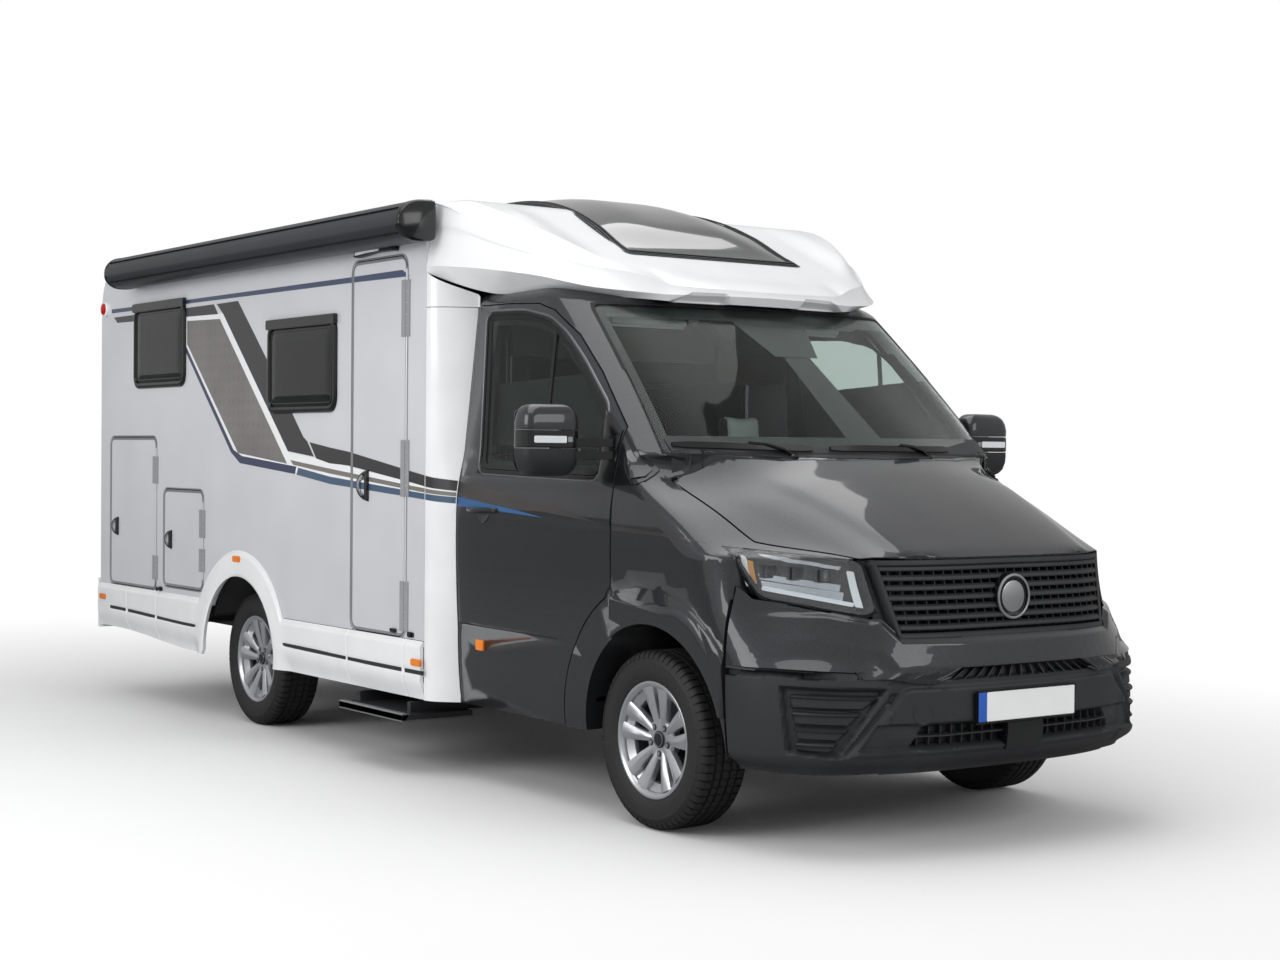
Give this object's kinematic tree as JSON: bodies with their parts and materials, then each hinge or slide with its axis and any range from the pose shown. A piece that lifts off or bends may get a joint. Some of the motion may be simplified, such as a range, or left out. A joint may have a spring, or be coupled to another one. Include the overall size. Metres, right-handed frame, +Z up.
{
  "type": "low-profile motorhome",
  "caption": "Low-profile motorhome: a van cab and chassis with a coachbuilt living body, roof hood, entry door, garage doors, awning case and entry step.",
  "frame": {"origin": "on the ground under the middle of the vehicle's overall length and width", "axes": "+Y to the rear, +X to the vehicle's left, +Z up"},
  "size_m": [2.6964, 6.6995, 2.72],
  "materials": {
    "cab_paint": "dark grey metallic",
    "side_aluminium": "silver-grey coated sheet",
    "white_gelcoat": "glossy white",
    "black_plastic": "grained",
    "clear_glass": "laminated",
    "tinted_acrylic": "dark tinted",
    "lamp_clear": "clear lens",
    "lamp_red": "red lens",
    "tyre": "rubber",
    "alloy": "silver lacquer",
    "chassis_steel": "black",
    "seat_fabric": "light grey cloth",
    "dash_plastic": "grained",
    "awning_anthracite": "satin",
    "floor_board": "sandwich board",
    "step_plastic": "ribbed"
  },
  "bodies": {
    "vehicle": {"chassis_frame": "chassis_steel", "front_axle": "chassis_steel", "rear_axle": "chassis_steel", "engine_block": "chassis_steel", "underfloor_tank": "black_plastic", "cab_shell": "cab_paint", "windscreen": "clear_glass", "front_fascia": "cab_paint", "front_bumper": "black_plastic", "grille": "black_plastic", "headlamps": "lamp_clear", "dashboard": "dash_plastic", "cab_seats": "seat_fabric", "roof_hood": "white_gelcoat", "roof_lights": "tinted_acrylic", "transition_panels": "white_gelcoat", "side_wall_left": "side_aluminium", "side_wall_right": "side_aluminium", "roof_panel": "white_gelcoat", "rear_wall": "white_gelcoat", "living_floor": "floor_board", "skirts": "white_gelcoat", "rear_bumper": "white_gelcoat", "rear_lamps": "lamp_red", "awning_case": "awning_anthracite", "living_windows": "tinted_acrylic"},
    "bonnet": {"bonnet": "cab_paint"},
    "steering_wheel": {"steering_wheel": "dash_plastic"},
    "cab_door_left": {"door_left": "cab_paint", "door_glass_left": "clear_glass", "mirror_left": "cab_paint"},
    "cab_door_right": {"door_right": "cab_paint", "door_glass_right": "clear_glass", "mirror_right": "cab_paint"},
    "entry_door": {"entry_door": "side_aluminium"},
    "garage_door_left": {"garage_door_left": "side_aluminium"},
    "garage_door_right": {"garage_door_right": "side_aluminium"},
    "hatch_right": {"hatch_right": "side_aluminium"},
    "entry_step": {"entry_step": "step_plastic"},
    "knuckle_left": {"knuckle_left": "chassis_steel"},
    "knuckle_right": {"knuckle_right": "chassis_steel"},
    "wheel_front_left": {"tyre_front_left": "tyre", "rim_front_left": "alloy"},
    "wheel_front_right": {"tyre_front_right": "tyre", "rim_front_right": "alloy"},
    "wheel_rear_left": {"tyre_rear_left": "tyre", "rim_rear_left": "alloy"},
    "wheel_rear_right": {"tyre_rear_right": "tyre", "rim_rear_right": "alloy"}
  },
  "joints": [
    {"name": "steer_right", "type": "hinge", "parent": "vehicle", "child": "knuckle_right", "pos_m": [-0.8, -2.29, 0.354], "axis": [0, 0, 1], "range_deg": [-35, 35]},
    {"name": "steer_left", "type": "hinge", "parent": "vehicle", "child": "knuckle_left", "pos_m": [0.8, -2.29, 0.354], "axis": [0, 0, 1], "range_deg": [-35, 35]},
    {"name": "steering_wheel_turn", "type": "hinge", "parent": "vehicle", "child": "steering_wheel", "pos_m": [0.43, -1.59, 1.235], "axis": [0, 0.8192, 0.5736], "range_deg": [-500, 500]},
    {"name": "wheel_front_right_spin", "type": "hinge", "parent": "knuckle_right", "child": "wheel_front_right", "pos_m": [-0.866, -2.29, 0.354], "axis": [1, 0, 0], "continuous": true},
    {"name": "wheel_rear_right_spin", "type": "hinge", "parent": "vehicle", "child": "wheel_rear_right", "pos_m": [-0.885, 1.31, 0.354], "axis": [1, 0, 0], "continuous": true},
    {"name": "wheel_front_left_spin", "type": "hinge", "parent": "knuckle_left", "child": "wheel_front_left", "pos_m": [0.866, -2.29, 0.354], "axis": [1, 0, 0], "continuous": true},
    {"name": "wheel_rear_left_spin", "type": "hinge", "parent": "vehicle", "child": "wheel_rear_left", "pos_m": [0.885, 1.31, 0.354], "axis": [1, 0, 0], "continuous": true},
    {"name": "cab_door_right_hinge", "type": "hinge", "parent": "vehicle", "child": "cab_door_right", "pos_m": [-1.015, -2.065, 1.2], "axis": [0, 0, 1], "range_deg": [0, 65]},
    {"name": "garage_door_right_hinge", "type": "hinge", "parent": "vehicle", "child": "garage_door_right", "pos_m": [-1.1, 2.432, 1.1], "axis": [0, 0, 1], "range_deg": [0, 150]},
    {"name": "cab_door_left_hinge", "type": "hinge", "parent": "vehicle", "child": "cab_door_left", "pos_m": [1.015, -2.065, 1.2], "axis": [0, 0, -1], "range_deg": [0, 65]},
    {"name": "garage_door_left_hinge", "type": "hinge", "parent": "vehicle", "child": "garage_door_left", "pos_m": [1.1, 2.432, 1.1], "axis": [0, 0, -1], "range_deg": [0, 150]},
    {"name": "entry_door_hinge", "type": "hinge", "parent": "vehicle", "child": "entry_door", "pos_m": [-1.1, -0.535, 1.5], "axis": [0, 0, 1], "range_deg": [0, 160]},
    {"name": "hatch_right_hinge", "type": "hinge", "parent": "vehicle", "child": "hatch_right", "pos_m": [-1.1, 1.76, 0.97], "axis": [0, 0, 1], "range_deg": [0, 130]},
    {"name": "bonnet_hinge", "type": "hinge", "parent": "vehicle", "child": "bonnet", "pos_m": [0, -2.23, 1.53], "axis": [-1, 0, 0], "range_deg": [0, 50]},
    {"name": "entry_step_slide", "type": "slide", "parent": "vehicle", "child": "entry_step", "axis": [1, 0, 0], "range_m": [0, 0.3]}
  ],
  "couplings": [
    {"joint": "steer_left", "follows": "steer_right", "ratio": 1},
    {"joint": "steering_wheel_turn", "follows": "steer_right", "ratio": 14}
  ]
}
